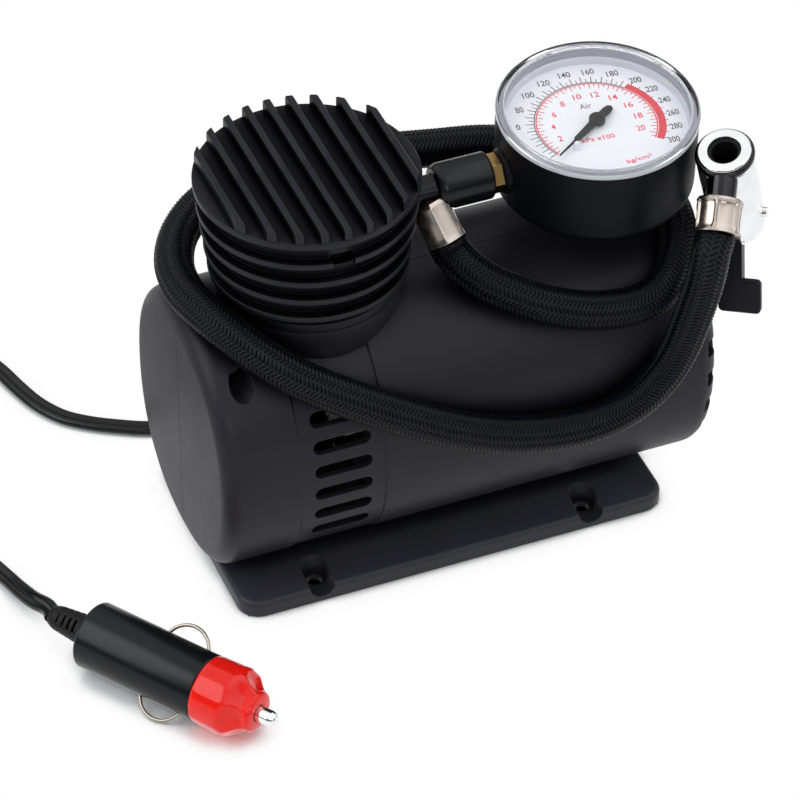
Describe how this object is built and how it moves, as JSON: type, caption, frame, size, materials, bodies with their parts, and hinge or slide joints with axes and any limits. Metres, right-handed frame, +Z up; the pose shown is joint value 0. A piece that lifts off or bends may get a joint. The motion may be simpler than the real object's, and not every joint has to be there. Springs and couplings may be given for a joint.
{
  "type": "tire inflator",
  "caption": "Portable 12 V tire inflator: barrel compressor on a foot plate with finned cylinder cover, round pressure gauge, braided hose with thumb-lock chuck and lighter plug lead.",
  "frame": {"origin": "centre of the rectangle of mounting holes, on the underside plane of the base plate", "axes": "+X along the barrel towards its slotted fan end (gauge side), -Y the front with the visible air slots and plug, +Z up; the object stands on z = 0"},
  "size_m": [0.303, 0.2205, 0.1372],
  "materials": {
    "shell": "moulded, fine satin grain",
    "gloss_black": "moulded, half gloss",
    "rubber": "matt",
    "cord_jacket": "satin PVC",
    "braid": "braided sleeve",
    "chrome": "polished plate",
    "nickel": "bright nickel plate",
    "steel": "zinc plated",
    "cast": "die cast",
    "brass": "turned",
    "copper": "enamelled winding",
    "ferrite": "sintered",
    "lamination": "stacked sheet",
    "nylon": "moulded",
    "dial_white": "printed",
    "clear": "clear moulding",
    "plug_red": "translucent red moulding",
    "leather": "oiled",
    "glass_tube": "clear"
  },
  "bodies": {
    "housing": {"base_plate": "shell", "base_screws": "steel", "housing_front": "shell", "housing_rear": "shell", "housing_screws": "steel", "cylinder_cover": "shell", "cylinder_barrel": "cast", "valve_plate": "steel", "cylinder_head": "cast", "head_screws": "steel", "check_spring": "steel", "gear_frame": "steel", "frame_screws": "steel", "shaft_bushes": "brass", "motor_can": "steel", "motor_magnets": "ferrite", "motor_end_cap": "gloss_black", "motor_brushes": "ferrite", "tee_fitting": "gloss_black", "brass_stem": "brass", "gauge_case": "shell", "gauge_dial": "dial_white", "gauge_lens": "clear", "bourdon_tube": "brass", "tee_ferrule": "nickel", "hose": "braid", "chuck_ferrule": "nickel", "chuck_body": "chrome", "chuck_seal": "rubber", "chuck_core": "brass", "chuck_pin": "chrome", "cord_gland": "rubber", "cord_lead": "cord_jacket", "cord_coil": "cord_jacket", "cord_tie": "gloss_black", "cord_tail": "cord_jacket", "plug_boot": "rubber", "plug_body": "gloss_black"},
    "rotor": {"motor_shaft": "steel", "armature_core": "lamination", "armature_coils": "copper", "commutator": "copper", "pinion": "brass", "fan": "gloss_black"},
    "crank": {"crank_gear": "nylon", "crank_shaft": "steel"},
    "piston": {"connecting_rod": "shell", "piston_seal": "leather", "piston_cap": "steel", "crank_pin": "steel"},
    "check_valve": {"check_ball": "steel"},
    "gauge_sector": {"sector_gear": "brass"},
    "gauge_pointer": {"gauge_needle": "gloss_black"},
    "chuck_handle": {"chuck_lever": "gloss_black"},
    "centre_contact": {"plug_tip": "chrome", "plug_fuse": "glass_tube", "plug_coil": "steel"},
    "side_contact_left": {"plug_spring_left": "chrome"},
    "side_contact_right": {"plug_spring_right": "chrome"},
    "nose_cap": {"plug_nose": "plug_red"}
  },
  "joints": [
    {"name": "motor_spin", "type": "hinge", "parent": "housing", "child": "rotor", "pos_m": [0, 0, 0.0311], "axis": [1, 0, 0], "continuous": true},
    {"name": "crank_spin", "type": "hinge", "parent": "housing", "child": "crank", "pos_m": [-0.024, 0, 0.056], "axis": [1, 0, 0], "continuous": true},
    {"name": "piston_stroke", "type": "slide", "parent": "housing", "child": "piston", "axis": [0, 0, 1], "range_m": [0, 0.013]},
    {"name": "check_valve_lift", "type": "slide", "parent": "housing", "child": "check_valve", "axis": [1, 0, 0], "range_m": [0, 0.001], "stiffness_N_per_m": 40, "springref_m": -0.001},
    {"name": "sector_turn", "type": "hinge", "parent": "housing", "child": "gauge_sector", "pos_m": [0.044, 0, 0.116], "axis": [0, -0.0698, 0.9976], "range_deg": [0, 40], "stiffness_Nm_per_rad": 0.002, "springref_deg": -5.73},
    {"name": "needle_turn", "type": "hinge", "parent": "housing", "child": "gauge_pointer", "pos_m": [0.0595, 0, 0.116], "axis": [0, -0.0698, 0.9976], "range_deg": [-240, 0]},
    {"name": "lever_lock", "type": "hinge", "parent": "housing", "child": "chuck_handle", "pos_m": [0.09558, -0.02368, 0.09914], "axis": [-0.7886, 0.607, -0.0979], "range_deg": [-28, 40]},
    {"name": "centre_contact_press", "type": "slide", "parent": "housing", "child": "centre_contact", "axis": [-0.565, 0.8251, 0], "range_m": [0, 0.0025], "stiffness_N_per_m": 600, "springref_m": -0.002},
    {"name": "side_contact_left_press", "type": "slide", "parent": "housing", "child": "side_contact_left", "axis": [-0.6321, -0.4328, -0.6428], "range_m": [0, 0.003], "stiffness_N_per_m": 300, "springref_m": -0.001},
    {"name": "side_contact_right_press", "type": "slide", "parent": "housing", "child": "side_contact_right", "axis": [0.6321, 0.4328, 0.6428], "range_m": [0, 0.003], "stiffness_N_per_m": 300, "springref_m": -0.001},
    {"name": "nose_cap_unscrew", "type": "hinge", "parent": "housing", "child": "nose_cap", "pos_m": [-0.08935, -0.07836, 0.0105], "axis": [0.565, -0.8251, 0], "range_deg": [0, 1080]}
  ],
  "couplings": [
    {"joint": "crank_spin", "follows": "motor_spin", "ratio": -0.24},
    {"joint": "needle_turn", "follows": "sector_turn", "ratio": -6}
  ]
}
